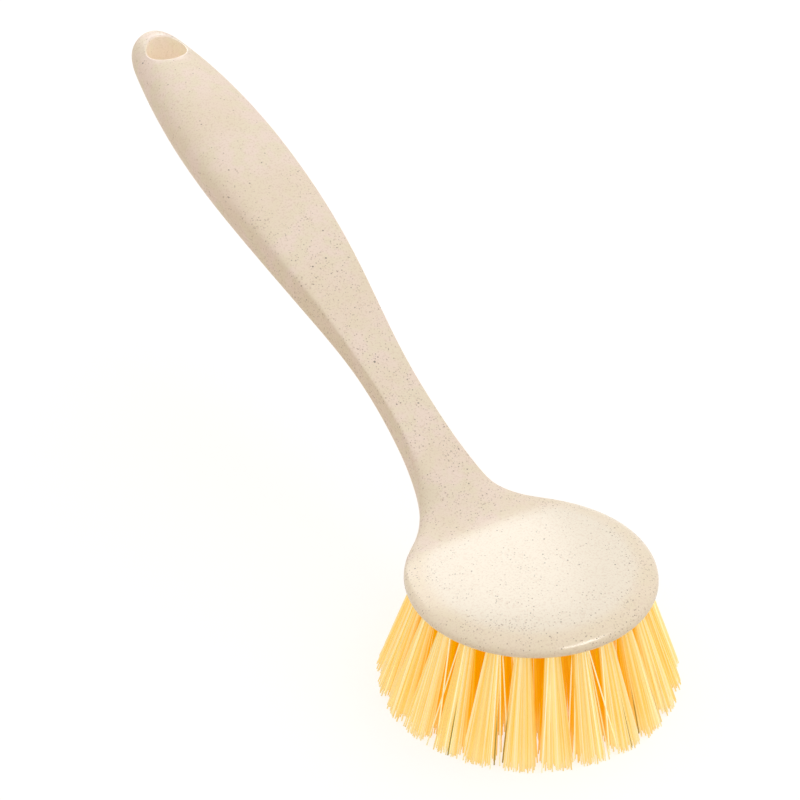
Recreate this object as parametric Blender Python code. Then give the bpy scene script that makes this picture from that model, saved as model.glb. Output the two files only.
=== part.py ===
"""Round kitchen brush: a one-piece moulded head and handle, and one tuft of bristles in each hole.

The brush stands on its bristle tips at height zero. The head's axis is the Z axis, and the handle
leaves the head towards +Y, rising to the hang hole near its end. All lengths are in metres.
"""

import functools
import math

import bmesh
import bpy
import numpy as np
from mathutils import Matrix, Vector

# Head
HEAD_RADIUS = 0.036
DOME_RISE = 0.0051
RIM_EDGE_HEIGHT = 0.0013
UNDERSIDE_FLAT_REACH = 0.033
HEAD_EDGE_LEVEL_REACH = 0.0215
DOME_EXPONENT = 2.4

# Handle: reach is measured from the head's axis, and lift from the head's underside
ROOT_REACH = 0.037
ROOT_LIFT = 0.0027
ROOT_CROWN = 0.0066
RIB_FADE_REACH = 0.007
FLARE_REACH = 0.0392
FLARE_WIDTH = 0.0253
NECK_REACH = 0.060
NECK_WIDTH = 0.0142
NECK_THICKNESS = 0.01145
NECK_LIFT = 0.01505
WAIST_REACH = 0.080
WAIST_WIDTH = 0.0144
WAIST_THICKNESS = 0.0088
WAIST_LIFT = 0.0255
SHOULDER_REACH = 0.108
SHOULDER_WIDTH = 0.0209
SHOULDER_THICKNESS = 0.0121
SHOULDER_LIFT = 0.0373
BELLY_REACH = 0.167
BELLY_WIDTH = 0.0303
BELLY_THICKNESS = 0.0177
BELLY_LIFT = 0.0553
HANG_REACH = 0.209
HANG_WIDTH = 0.0205
HANG_THICKNESS = 0.0164
HANG_LIFT = 0.0657
TIP_MARGIN = 0.0122
TIP_ROUNDING = 0.0107
TIP_LIFT = 0.0683
TIP_WIDTH = 0.0153
TIP_THICKNESS = 0.0123
HANG_HOLE_RADIUS = 0.0063
CROWN_SHARE = 0.45
FLARE_START_SHARE = 0.783

# Exponents of the sections: two is an ellipse, and more is squarer
ROOT_EXPONENT = 2.0
NECK_EXPONENT = 6.0
WAIST_EXPONENT = 7.0
SHOULDER_EXPONENT = 4.2
BELLY_EXPONENT = 2.4
HANG_EXPONENT = 2.0
KEEL_NECK_EXPONENT = 4.0
KEEL_WAIST_EXPONENT = 4.5
KEEL_SHOULDER_EXPONENT = 3.5
KEEL_BELLY_EXPONENT = 2.4
TIP_PLAN_EXPONENT = 3.7
TIP_CROWN_EXPONENT = 6.0
TIP_KEEL_EXPONENT = 4.0
BLEND_POWER = 3.0
CIRCLE_EXPONENT = 2.0

# Bristles
BRISTLE_HEIGHT = 0.034
TIP_TRIM = 0.0005
RING_EDGE_MARGIN = 0.0057
OUTER_LEAN_DEGREES = 15.5
TUFT_HOLE_RADIUS = 0.0023
HOLE_ROOF = 0.0016
SEAT_GAP = 0.0003
PLUG_PROUD = 0.0004
STRAND_EMBED = 0.0015
STRAND_ROOT_SPREAD = 0.0012
STRAND_ROOT_RADIUS = 0.00048
STRAND_TIP_RADIUS = 0.00062
TUFT_CLEARANCE = 0.00015
RINGS = (("outer", 24), ("middle", 16), ("inner", 8))
STRANDS_IN_RING = 6
STRAND_SIDES = 4

# Fineness of the faces
SECTION_POINTS = 32
HEAD_STEPS = 13
FLARE_STEPS = 16
GRIP_STEPS = 20
TIP_STEPS = 7
PLUG_SIDES = 10
HANG_HOLE_SIDES = 32
CUT_OVERRUN = 0.002
SHARP_EDGE_DEGREES = 40.0

# Finishes
PLASTIC_COLOUR = (0.82, 0.72, 0.58)
PLASTIC_ROUGHNESS = 0.42
FILAMENT_COLOUR = (1.0, 0.69, 0.26)
FILAMENT_ROUGHNESS = 0.38

# Worked out from the values above
TIP_REACH = HANG_REACH + TIP_MARGIN
FLARE_START_REACH = HEAD_RADIUS * FLARE_START_SHARE
FLARE_START_HALF_WIDTH = math.sqrt(HEAD_RADIUS**2 - FLARE_START_REACH**2)
OUTER_RING_RADIUS = HEAD_RADIUS - RING_EDGE_MARGIN
OUTER_COUNT = RINGS[0][1]
OUTER_LEAN = math.radians(OUTER_LEAN_DEGREES)
STATION_REACHES = (NECK_REACH, WAIST_REACH, SHOULDER_REACH, BELLY_REACH, HANG_REACH, TIP_REACH)
STATION_WIDTHS = (NECK_WIDTH, WAIST_WIDTH, SHOULDER_WIDTH, BELLY_WIDTH, HANG_WIDTH, TIP_WIDTH)
STATION_LIFTS = (NECK_LIFT, WAIST_LIFT, SHOULDER_LIFT, BELLY_LIFT, HANG_LIFT, TIP_LIFT)
STATION_THICKNESSES = (
    NECK_THICKNESS,
    WAIST_THICKNESS,
    SHOULDER_THICKNESS,
    BELLY_THICKNESS,
    HANG_THICKNESS,
    TIP_THICKNESS,
)

# The curves that shape the moulding: each is its value at a few reaches, from the head to the tip
HALF_WIDTH_CURVE = (
    (FLARE_START_REACH, FLARE_START_HALF_WIDTH),
    (FLARE_REACH, FLARE_WIDTH / 2.0),
    *((reach, width / 2.0) for reach, width in zip(STATION_REACHES, STATION_WIDTHS)),
)
EDGE_CURVE = (
    (HEAD_EDGE_LEVEL_REACH, RIM_EDGE_HEIGHT),
    (ROOT_REACH, ROOT_LIFT),
    *zip(STATION_REACHES, STATION_LIFTS),
)
CROWN_CURVE = (
    (RIB_FADE_REACH, 0.0),
    (ROOT_REACH, ROOT_CROWN),
    *((reach, thickness * CROWN_SHARE) for reach, thickness in zip(STATION_REACHES, STATION_THICKNESSES)),
)
BOTTOM_CURVE = (
    (UNDERSIDE_FLAT_REACH, 0.0),
    *(
        (reach, lift - thickness * (1.0 - CROWN_SHARE))
        for reach, lift, thickness in zip(STATION_REACHES, STATION_LIFTS, STATION_THICKNESSES)
    ),
)
CROWN_EXPONENT_CURVE = (
    (ROOT_REACH, ROOT_EXPONENT),
    (NECK_REACH, NECK_EXPONENT),
    (WAIST_REACH, WAIST_EXPONENT),
    (SHOULDER_REACH, SHOULDER_EXPONENT),
    (BELLY_REACH, BELLY_EXPONENT),
    (HANG_REACH, HANG_EXPONENT),
)
KEEL_EXPONENT_CURVE = (
    (NECK_REACH, KEEL_NECK_EXPONENT),
    (WAIST_REACH, KEEL_WAIST_EXPONENT),
    (SHOULDER_REACH, KEEL_SHOULDER_EXPONENT),
    (BELLY_REACH, KEEL_BELLY_EXPONENT),
)


def clear_scene():
    for item in list(bpy.data.objects):
        bpy.data.objects.remove(item, do_unlink=True)


def new_collection(name):
    collection = bpy.data.collections.new(name)
    bpy.context.scene.collection.children.link(collection)
    return collection


def new_material(name, colour, roughness):
    material = bpy.data.materials.new(name)
    material.use_nodes = True
    shader = material.node_tree.nodes["Principled BSDF"]
    shader.inputs["Base Color"].default_value = (*colour, 1.0)
    shader.inputs["Roughness"].default_value = roughness
    shader.inputs["Metallic"].default_value = 0.0
    return material


def add_object(name, mesh, collection):
    item = bpy.data.objects.new(name, mesh)
    collection.objects.link(item)
    return item


def mesh_from(name, shape):
    bmesh.ops.recalc_face_normals(shape, faces=shape.faces)
    mesh = bpy.data.meshes.new(name)
    shape.to_mesh(mesh)
    shape.free()
    return mesh


def apply_boolean(item, cutter, operation):
    """Joins or cuts the item with the cutter, and keeps the result as the item's plain mesh."""
    modifier = item.modifiers.new("Boolean", "BOOLEAN")
    modifier.operation = operation
    modifier.object = cutter
    bpy.context.view_layer.update()
    evaluated = item.evaluated_get(bpy.context.evaluated_depsgraph_get())
    mesh = bpy.data.meshes.new_from_object(evaluated)
    item.modifiers.remove(modifier)
    item.data = mesh
    bpy.data.objects.remove(cutter, do_unlink=True)


@functools.lru_cache(maxsize=None)
def curve_bends(stations, start_slope):
    """Second derivatives, at its stations, of the smoothest curve through them."""
    spans = [b[0] - a[0] for a, b in zip(stations, stations[1:])]
    rises = [(b[1] - a[1]) / (b[0] - a[0]) for a, b in zip(stations, stations[1:])]
    system = np.eye(len(stations))
    wanted = np.zeros(len(stations))
    system[0, :2] = 2.0 * spans[0], spans[0]
    wanted[0] = 6.0 * (rises[0] - start_slope)
    for i in range(1, len(spans)):
        system[i, i - 1 : i + 2] = spans[i - 1], 2.0 * (spans[i - 1] + spans[i]), spans[i]
        wanted[i] = 6.0 * (rises[i] - rises[i - 1])
    return tuple(np.linalg.solve(system, wanted))


def smooth_curve(stations, place, start_slope=0.0):
    """Value at a place on the smoothest curve through (place, value) stations, held past its ends."""
    place = min(max(place, stations[0][0]), stations[-1][0])
    index = max(i for i, station in enumerate(stations[:-1]) if station[0] <= place)
    (start, low), (end, high) = stations[index], stations[index + 1]
    span = end - start
    t = (place - start) / span
    before, after = curve_bends(stations, start_slope)[index : index + 2]
    bent = ((1.0 - t) ** 3 - (1.0 - t)) * before + (t**3 - t) * after
    return low + (high - low) * t + bent * span**2 / 6.0


def rounded(share, exponent):
    """Height of a superellipse of unit height at a share of its half width."""
    return (1.0 - min(1.0, abs(share)) ** exponent) ** (1.0 / exponent)


# Outline and section curves of the moulding, as functions of the reach along Y


def tip_share(reach):
    """How far into the rounded end of the handle a reach lies, from zero to one."""
    return max(0.0, (reach - TIP_REACH + TIP_ROUNDING) / TIP_ROUNDING)


def half_width(reach):
    """Half width of the moulding seen from above: a disc, a flared neck and the grip."""
    if reach <= FLARE_START_REACH:
        return math.sqrt(max(0.0, HEAD_RADIUS**2 - reach**2))
    disc_slope = -FLARE_START_REACH / FLARE_START_HALF_WIDTH
    width = smooth_curve(HALF_WIDTH_CURVE, reach, disc_slope)
    return width * rounded(tip_share(reach), TIP_PLAN_EXPONENT)


def edge_lift(reach):
    """Height of the widest edge, where the two halves of the mould met, above the underside."""
    return smooth_curve(EDGE_CURVE, reach)


def crown_height(reach):
    """Height of the handle's top above its widest edge; it fades out over the head."""
    return smooth_curve(CROWN_CURVE, reach) * rounded(tip_share(reach), TIP_CROWN_EXPONENT)


def keel_depth(reach):
    """Depth of the moulding's bottom below its widest edge; the head's underside is level."""
    depth = edge_lift(reach) - smooth_curve(BOTTOM_CURVE, reach)
    return depth * rounded(tip_share(reach), TIP_KEEL_EXPONENT)


def dome_height(radius):
    """Height of the domed head above its rim edge, at a radius from the head's axis."""
    return DOME_RISE * rounded(radius / HEAD_RADIUS, DOME_EXPONENT)


def section_exponent(stations, reach):
    """Squareness of a cross-section at a reach, which is never slacker than an ellipse."""
    return max(CIRCLE_EXPONENT, smooth_curve(stations, reach))


def top_height(across, reach):
    """Height of the top surface above the widest edge, the dome and the handle's crown blended."""
    width = half_width(reach)
    share = min(1.0, abs(across) / width) if width > 0.0 else 1.0
    along = min(1.0, abs(reach) / HEAD_RADIUS)
    radius = HEAD_RADIUS * math.sqrt(along**2 + (1.0 - along**2) * share**2)
    dome = dome_height(radius)
    crown = crown_height(reach) * rounded(share, section_exponent(CROWN_EXPONENT_CURVE, reach))
    return (dome**BLEND_POWER + crown**BLEND_POWER) ** (1.0 / BLEND_POWER)


def bottom_depth(across, reach):
    """Depth of the bottom surface below the widest edge: a flat disc, then a rounded keel."""
    width = half_width(reach)
    share = min(1.0, abs(across) / width) if width > 0.0 else 1.0
    along = min(1.0, max(0.0, -reach) / HEAD_RADIUS)
    radius_share = math.sqrt(along**2 + (1.0 - along**2) * share**2)
    flat_share = 1.0 - RIM_EDGE_HEIGHT / HEAD_RADIUS
    disc = rounded(max(0.0, radius_share - flat_share) / (1.0 - flat_share), CIRCLE_EXPONENT)
    keel = rounded(share, section_exponent(KEEL_EXPONENT_CURVE, reach))
    t = min(1.0, max(0.0, (reach - UNDERSIDE_FLAT_REACH) / (NECK_REACH - UNDERSIDE_FLAT_REACH)))
    blend = t * t * (3.0 - 2.0 * t)
    return keel_depth(reach) * (disc * (1.0 - blend) + keel * blend)


def section_reaches():
    """Places of the moulding's cross-sections, closer together where the shape turns quickly."""
    tip_start = TIP_REACH - TIP_ROUNDING
    quarter = math.pi / 2.0
    reaches = [-HEAD_RADIUS * math.cos(quarter * i / HEAD_STEPS) for i in range(1, HEAD_STEPS)]
    reaches += [NECK_REACH * i / FLARE_STEPS for i in range(FLARE_STEPS)]
    reaches += [NECK_REACH + (tip_start - NECK_REACH) * i / GRIP_STEPS for i in range(GRIP_STEPS)]
    reaches += [tip_start + TIP_ROUNDING * math.sin(quarter * i / TIP_STEPS) for i in range(TIP_STEPS)]
    return reaches


def loft_body():
    """The solid moulding, before its holes: cross-sections joined from the head to the tip."""
    shape = bmesh.new()
    loops = []
    for reach in section_reaches():
        width = half_width(reach)
        edge = BRISTLE_HEIGHT + edge_lift(reach)
        loop = []
        for i in range(SECTION_POINTS):
            angle = 2.0 * math.pi * i / SECTION_POINTS
            across = width * math.cos(angle)
            if i in (0, SECTION_POINTS // 2):
                height = edge
            elif i < SECTION_POINTS // 2:
                height = edge + top_height(across, reach)
            else:
                height = edge - bottom_depth(across, reach)
            loop.append(shape.verts.new((across, reach, height)))
        loops.append(loop)
    for before, after in zip(loops, loops[1:]):
        for i in range(SECTION_POINTS):
            j = (i + 1) % SECTION_POINTS
            shape.faces.new((before[i], before[j], after[j], after[i]))
    front = shape.verts.new((0.0, -HEAD_RADIUS, BRISTLE_HEIGHT + RIM_EDGE_HEIGHT))
    back = shape.verts.new((0.0, TIP_REACH, BRISTLE_HEIGHT + TIP_LIFT))
    for point, loop in ((front, loops[0]), (back, loops[-1])):
        for i in range(SECTION_POINTS):
            shape.faces.new((point, loop[i], loop[(i + 1) % SECTION_POINTS]))
    return mesh_from("handle_body", shape)


# Tufts: each is drawn in its ring's own upright plane, with +X outwards, and turned into place


def ring_radius(count):
    """Radius of a ring of tufts that keeps the outer ring's spacing round the ring."""
    return OUTER_RING_RADIUS * count / OUTER_COUNT


def tuft_turn(number, count):
    """Turn of a tuft about the head's axis; the first ones lie half a pitch either side of +X."""
    return 2.0 * math.pi * (number + 0.5) / max(1, count)


def ring_lean(count):
    """Outward lean of a ring's tufts, from upright at the centre to the outer ring's lean."""
    return OUTER_LEAN * count / OUTER_COUNT


def hole_depth(count):
    """Depth of a ring's blind holes: what the dome leaves over them, less the roof."""
    return RIM_EDGE_HEIGHT + dome_height(ring_radius(count)) - HOLE_ROOF


def hole_frame(count):
    """Frame at the mouth of a hole, with its Z axis pointing into the head along the hole."""
    mouth = Matrix.Translation((ring_radius(count), 0.0, BRISTLE_HEIGHT))
    return mouth @ Matrix.Rotation(-ring_lean(count), 4, "Y")


def add_upright_prism(shape, frame, bottom, top, bottom_radius, top_radius, sides):
    """Adds a closed prism or frustum between two heights of a frame's Z axis."""
    middle = Matrix.Translation((0.0, 0.0, (bottom + top) / 2.0))
    bmesh.ops.create_cone(
        shape,
        cap_ends=True,
        segments=sides,
        radius1=bottom_radius,
        radius2=top_radius,
        depth=top - bottom,
        matrix=frame @ middle,
    )


def tip_spread():
    """Reach of a tuft's outer strands at the tips, which keeps clear of the next tuft."""
    tip_radius = OUTER_RING_RADIUS + BRISTLE_HEIGHT * math.tan(OUTER_LEAN)
    pitch = 2.0 * tip_radius * math.sin(math.pi / OUTER_COUNT)
    return pitch / 2.0 - STRAND_TIP_RADIUS - TUFT_CLEARANCE


def add_strand(shape, count, direction, spread_share):
    """Adds one strand, level at both ends, from inside the plug to just below the tips' plane."""
    top = BRISTLE_HEIGHT + STRAND_EMBED
    bottom = -TIP_TRIM
    lean = math.tan(ring_lean(count))
    outwards = Vector((math.cos(direction), math.sin(direction))) * spread_share
    centre_top = Vector((ring_radius(count) - lean * STRAND_EMBED, 0.0))
    centre_bottom = Vector((ring_radius(count) + lean * (BRISTLE_HEIGHT - bottom), 0.0))
    start = centre_top + outwards * STRAND_ROOT_SPREAD
    end = centre_bottom + outwards * tip_spread()
    slope = (start - end) / (top - bottom)
    shear = Matrix.Identity(4)
    shear[0][2] = slope.x
    shear[1][2] = slope.y
    frame = Matrix.Translation((end.x, end.y, bottom)) @ shear
    add_upright_prism(
        shape, frame, 0.0, top - bottom, STRAND_TIP_RADIUS, STRAND_ROOT_RADIUS, STRAND_SIDES
    )


def cut_tips_flat(mesh):
    """Cuts the strands level at height zero, where the brush stands on them."""
    shape = bmesh.new()
    shape.from_mesh(mesh)
    everything = shape.verts[:] + shape.edges[:] + shape.faces[:]
    bmesh.ops.bisect_plane(
        shape, geom=everything, plane_co=(0.0, 0.0, 0.0), plane_no=(0.0, 0.0, -1.0), clear_outer=True
    )
    open_edges = [edge for edge in shape.edges if edge.is_boundary]
    bmesh.ops.holes_fill(shape, edges=open_edges, sides=STRAND_SIDES)
    bmesh.ops.recalc_face_normals(shape, faces=shape.faces)
    shape.to_mesh(mesh)
    shape.free()


def tuft_mesh(name, count, cutters):
    """One tuft: the bound root that fills its hole, and the strands that fan out of it."""
    plug = bmesh.new()
    root = hole_depth(count) - SEAT_GAP
    radius = TUFT_HOLE_RADIUS - SEAT_GAP
    add_upright_prism(plug, hole_frame(count), -PLUG_PROUD, root, radius, radius, PLUG_SIDES)
    item = add_object(name, mesh_from(name, plug), cutters)

    strands = bmesh.new()
    add_strand(strands, count, 0.0, 0.0)
    for i in range(STRANDS_IN_RING):
        add_strand(strands, count, math.pi * (2 * i + 1) / STRANDS_IN_RING, 1.0)
    bundle = add_object(name + "_strands", mesh_from(name + "_strands", strands), cutters)
    apply_boolean(item, bundle, "UNION")
    mesh = item.data
    bpy.data.objects.remove(item, do_unlink=True)
    cut_tips_flat(mesh)
    return mesh


def add_tufts(parts, cutters, material):
    for ring, count in (*RINGS, ("centre", 0)):
        mesh = tuft_mesh("tuft_" + ring, count, cutters)
        mesh.materials.clear()
        mesh.materials.append(material)
        for i in range(max(1, count)):
            name = f"tuft_{ring}_{i + 1:02d}" if count else "tuft_centre"
            tuft = add_object(name, mesh, parts)
            tuft.rotation_euler.z = tuft_turn(i, count)


def tuft_hole_cutter(cutters):
    """All the blind tuft holes as one cutter, each a drilled cylinder along its tuft's lean."""
    shape = bmesh.new()
    for _, count in (*RINGS, ("centre", 0)):
        for i in range(max(1, count)):
            turn = Matrix.Rotation(tuft_turn(i, count), 4, "Z")
            add_upright_prism(
                shape,
                turn @ hole_frame(count),
                -CUT_OVERRUN,
                hole_depth(count),
                TUFT_HOLE_RADIUS,
                TUFT_HOLE_RADIUS,
                PLUG_SIDES,
            )
    return add_object("tuft_holes", mesh_from("tuft_holes", shape), cutters)


def hang_hole_cutter(cutters):
    """The hole at the handle's end, straight down through it as the mould's pin leaves it."""
    shape = bmesh.new()
    edge = BRISTLE_HEIGHT + HANG_LIFT
    reach_up = HANG_THICKNESS + CUT_OVERRUN
    frame = Matrix.Translation((0.0, HANG_REACH, edge))
    add_upright_prism(
        shape, frame, -reach_up, reach_up, HANG_HOLE_RADIUS, HANG_HOLE_RADIUS, HANG_HOLE_SIDES
    )
    return add_object("hang_hole", mesh_from("hang_hole", shape), cutters)


def add_body(parts, cutters, material):
    body = add_object("handle_body", loft_body(), parts)
    apply_boolean(body, tuft_hole_cutter(cutters), "DIFFERENCE")
    apply_boolean(body, hang_hole_cutter(cutters), "DIFFERENCE")
    body.data.materials.clear()
    body.data.materials.append(material)
    body.data.shade_smooth()
    body.data.set_sharp_from_angle(angle=math.radians(SHARP_EDGE_DEGREES))


def build():
    clear_scene()
    parts = new_collection("kitchen_brush")
    cutters = new_collection("cutters")
    cream = new_material("speckled_cream_plastic", PLASTIC_COLOUR, PLASTIC_ROUGHNESS)
    yellow = new_material("pale_yellow_filament", FILAMENT_COLOUR, FILAMENT_ROUGHNESS)
    add_body(parts, cutters, cream)
    add_tufts(parts, cutters, yellow)


build()
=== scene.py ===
"""Looks of a round kitchen brush: a speckled cream moulding and fanned tufts of yellow bristles.

Lengths are in metres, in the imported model's frame. The brush stands on its bristle tips at height
zero, the head's axis is Z, and the handle leaves the head towards +Y.
"""

import math

import bmesh
import bpy
import numpy as np
from mathutils import Matrix, Vector


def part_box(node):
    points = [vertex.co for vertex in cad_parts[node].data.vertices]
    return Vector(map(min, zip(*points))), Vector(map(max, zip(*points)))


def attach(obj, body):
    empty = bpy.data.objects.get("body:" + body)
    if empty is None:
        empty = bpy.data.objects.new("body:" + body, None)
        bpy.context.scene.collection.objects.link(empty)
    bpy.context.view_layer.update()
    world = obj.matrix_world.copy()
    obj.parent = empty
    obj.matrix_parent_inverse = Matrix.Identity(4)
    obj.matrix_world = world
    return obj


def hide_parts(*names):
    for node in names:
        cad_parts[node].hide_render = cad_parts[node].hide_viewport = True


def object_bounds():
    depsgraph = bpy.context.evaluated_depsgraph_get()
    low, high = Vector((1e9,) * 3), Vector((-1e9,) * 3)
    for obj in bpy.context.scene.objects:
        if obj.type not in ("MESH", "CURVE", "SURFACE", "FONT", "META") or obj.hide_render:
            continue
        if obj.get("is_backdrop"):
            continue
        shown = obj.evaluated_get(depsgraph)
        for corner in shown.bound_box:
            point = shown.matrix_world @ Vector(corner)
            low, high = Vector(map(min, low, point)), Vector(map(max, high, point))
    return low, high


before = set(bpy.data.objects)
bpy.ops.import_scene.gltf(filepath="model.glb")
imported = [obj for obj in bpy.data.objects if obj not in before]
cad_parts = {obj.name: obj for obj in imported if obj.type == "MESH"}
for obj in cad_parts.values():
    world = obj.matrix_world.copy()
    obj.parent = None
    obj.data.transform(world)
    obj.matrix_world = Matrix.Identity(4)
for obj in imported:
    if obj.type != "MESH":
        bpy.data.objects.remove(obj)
CAD_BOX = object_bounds()
BODY_LOW, BODY_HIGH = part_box("handle_body")

# The moulding, as the solid has it: reach is measured from the head's axis, lift from its underside
HEAD_RADIUS = BODY_HIGH.x
UNDERSIDE_HEIGHT = BODY_LOW.z
TIP_REACH = BODY_HIGH.y
DOME_RISE = 0.0051
RIM_EDGE_HEIGHT = 0.0013
UNDERSIDE_FLAT_REACH = 0.033
HEAD_EDGE_LEVEL_REACH = 0.0215
RIB_FADE_REACH = 0.007
ROOT_REACH = 0.037
ROOT_LIFT = 0.0027
ROOT_CROWN = 0.0066
FLARE_START_REACH = HEAD_RADIUS * 0.783
FLARE_REACH = 0.0392
FLARE_WIDTH = 0.0253
NECK_REACH = 0.060
WAIST_REACH = 0.080
SHOULDER_REACH = 0.108
BELLY_REACH = 0.167
HANG_REACH = 0.209
HANG_HOLE_RADIUS = 0.0063
TIP_ROUNDING = 0.0107
CROWN_SHARE = 0.45
STATION_REACHES = (NECK_REACH, WAIST_REACH, SHOULDER_REACH, BELLY_REACH, HANG_REACH, TIP_REACH)
STATION_WIDTHS = (0.0142, 0.0144, 0.0209, 0.0303, 0.0205, 0.0153)
STATION_LIFTS = (0.01505, 0.0255, 0.0373, 0.0553, 0.0657, 0.0683)
STATION_THICKNESSES = (0.01145, 0.0088, 0.0121, 0.0177, 0.0164, 0.0123)

# Exponents of the sections: two is an ellipse, and more is squarer
DOME_EXPONENT = 2.4
CROWN_EXPONENTS = (2.0, 12.0, 16.0, 9.0, 2.6, 2.0)
KEEL_EXPONENTS = (4.0, 4.5, 3.5, 2.4)
TIP_PLAN_EXPONENT = 3.7
TIP_CROWN_EXPONENT = 6.0
TIP_KEEL_EXPONENT = 4.0
BLEND_POWER = 3.0
CIRCLE_EXPONENT = 2.0

# The moulding's finer details
LIP_ROUNDING = 0.0005
PATCH_MARGIN = 0.0045
SHARP_ANGLE_DEGREES = 50.0

# The parting line's half width, and its depth at each reach: the neck has none
PARTING_HALF_WIDTH = 0.00014
PARTING_REACHES = (0.025, 0.040, 0.100, 0.140)
PARTING_DEPTHS = (0.00008, 0.0, 0.0, 0.00008)

# The fineness of the moulding's mesh
SECTION_POINTS = 128
SQUAREST_SPACING = 4.5
HEAD_STEPS = 56
FLARE_STEPS = 90
GRIP_STEPS = 130
OUTLINE_STEPS = 120
OUTLINE_SAMPLES = 4000
LIP_STEPS = 6
PATCH_STEPS = 24
PATCH_SAMPLES = 240
PATCH_CROWDING = 4
WALL_STEPS = 10
NO_WIDTH = 1e-9

# Bristles: each ring has its name, its tufts, the filaments in a tuft and how deep it lies, which sets
# its painted shade
RINGS = (
    ("outer", 24, 140, 0.0),
    ("middle", 16, 90, 0.95),
    ("inner", 8, 90, 1.0),
    ("centre", 1, 90, 1.0),
)
RING_EDGE_MARGIN = 0.0057
OUTER_LEAN_DEGREES = 15.5
TUFT_HOLE_RADIUS = 0.0023
HOLE_ROOF = 0.0016
HOLE_SIDES = 20
CUT_OVERRUN = 0.002
FILAMENT_RADIUS = 0.0002
BUNDLE_RADIUS = 0.0018
FAN_AROUND = 0.0048
FAN_OUTWARDS = 0.0040
FAN_INWARDS = 0.0054
FAN_DRIFT = 0.0005
TIP_JITTER = 0.0003
TIP_UNEVENNESS = 0.0003
BOW = 0.0002
FILAMENT_EMBED = 0.0015
FILAMENT_SIDES = 5
FILAMENT_POINTS = 4

# How filaments differ: a few stray or are shaded, and those at a tuft's back take a painted shade,
# deeper in tone
STRAY_SHARE = 0.06
STRAY_STEEPNESS = 40.0
STRAY_SPREAD = 1.2
SHADED_SHARE = 0.02
SHORTNESS_POWER = 4.0
TUFT_TWIST = 1.7
LEAST_SLICE = 0.45
SLANTED_END_SHARE = 0.35
BACK_SHADE_EDGE = (0.45, -0.35)

# Colours of the filaments, in linear light, each tone from its darkest to its lightest
PALE_FILAMENTS = (0.92, 0.645, 0.15, 1.0), (0.96, 0.88, 0.56, 1.0)
# Painted shade: the deeper orange of filaments at a tuft's back and in the inner rings
BACK_SHADE_FILAMENTS = (0.83, 0.46, 0.0, 1.0), (0.89, 0.58, 0.0, 1.0)
TIP_COLOUR = (0.93, 0.91, 0.68, 1.0)
STRAY_COLOUR = (0.96, 0.97, 0.70, 1.0)
SHADED_COLOUR = (0.38, 0.29, 0.07, 1.0)
FILAMENT_ROUGHNESS = 0.40
FILAMENT_SPECULAR = 0.05
# Painted light: the filaments glow faintly in their own colour, standing in for light that passes
# through the bundles
FILAMENT_GLOW = 0.28

# Where along a filament, from its root at zero to its tip at one, a tone changes, and from what to what
# The painted shade at a tuft's back fades towards the tips
BACK_SHADE_FADE = (0.65, 1.0, 1.0, 0.75)
TIP_FADE = (0.70, 1.0, 0.0, 0.20)
SHADE_RISE = (0.45, 0.80)

# The plastic's patterns: the size of each, and the noise between which its edges run
BLOTCH_SIZE, BLOTCH_EDGE = 0.0055, (0.36, 0.64)
CLOUD_SIZE, CLOUD_EDGE = 0.022, (0.40, 0.66)
GRAIN_SIZE, GRAIN_EDGE = 0.0006, (0.48, 0.75)
CLUSTER_SIZE, CLUSTER_EDGE = 0.007, (0.40, 0.58)
SHEEN_EDGE = (0.3, 0.7)
RIPPLE_SIZE = 0.0024

# Colours of the plastic, in linear light, and how strongly each shows over the ones before it
BLOTCH_COLOURS = (0.895, 0.770, 0.680, 1.0), (0.855, 0.775, 0.615, 1.0)
CLOUD_COLOUR, CLOUD_STRENGTH = (0.840, 0.735, 0.575, 1.0), 0.5
# Painted light and shade: over the head the colour turns lighter than on the neck, whose ramp keeps a
# painted shade, and warmer at the rim, like its shaded band
HEAD_PAINTED_LIGHT_COLOUR, HEAD_PAINTED_LIGHT_STRENGTH = (0.915, 0.815, 0.620, 1.0), 0.7
# Painted sheen: the head's flat top is whiter, as if it caught a gloss
PAINTED_SHEEN_COLOUR, PAINTED_SHEEN_STRENGTH = (0.935, 0.878, 0.752, 1.0), 0.9
GRAIN_COLOUR, GRAIN_STRENGTH = (0.66, 0.52, 0.40, 1.0), 0.5

# Specks in the plastic: spacing, radius, the share of places that hold one, strength and colour
CROWDED_SPECKS = (
    (0.0008, 0.00031, 0.85, 0.60, (0.30, 0.22, 0.16, 1.0)),
    (0.0015, 0.00033, 0.70, 0.75, (0.14, 0.10, 0.07, 1.0)),
)
LONE_SPECKS = (0.0050, 0.00042, 0.60, 0.95, (0.045, 0.036, 0.030, 1.0))
STRAW_FLECKS = (0.0021, 0.00030, 0.35, 0.30, (0.60, 0.44, 0.24, 1.0))
FLECK_TURN = (0.3, 0.5, 0.6)
FLECK_STRETCH = (1.0, 0.25, 1.0)

# How crowded the specks are on the grip and on the head's middle, and between and in their clusters
GRIP_CROWDING = 0.15
HEAD_CROWDING = 0.4
CLUSTER_CROWDING = (0.2, 1.25)

# Where the plastic changes: reaches of the head's polish and painted light, and distances from the
# head's axis
POLISH_AND_PAINTED_LIGHT_EDGE = (0.0245, 0.0175)
PAINTED_SHEEN_EDGE = (0.0325, 0.027)
RIM_SPECKS_EDGE = (0.020, 0.029)
POLISHED_LIP_WIDTH = 0.0025

# The plastic's finish, and the painted light of the hang hole's glowing wall
POLISHED_ROUGHNESS = (0.20, 0.28)
MATTE_ROUGHNESS = 0.22
COAT_WEIGHT = 0.35
COAT_ROUGHNESS = 0.14
BUMP_STRENGTH = 0.10
BUMP_HEIGHT = 0.00025
GRAIN_RELIEF = 0.4
# Painted light: the hang hole's wall glows faintly, brightened as if lit
HOLE_GLOW = 0.15
HOLE_GLOW_COLOUR = (0.90, 0.86, 0.68, 1.0)

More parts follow.
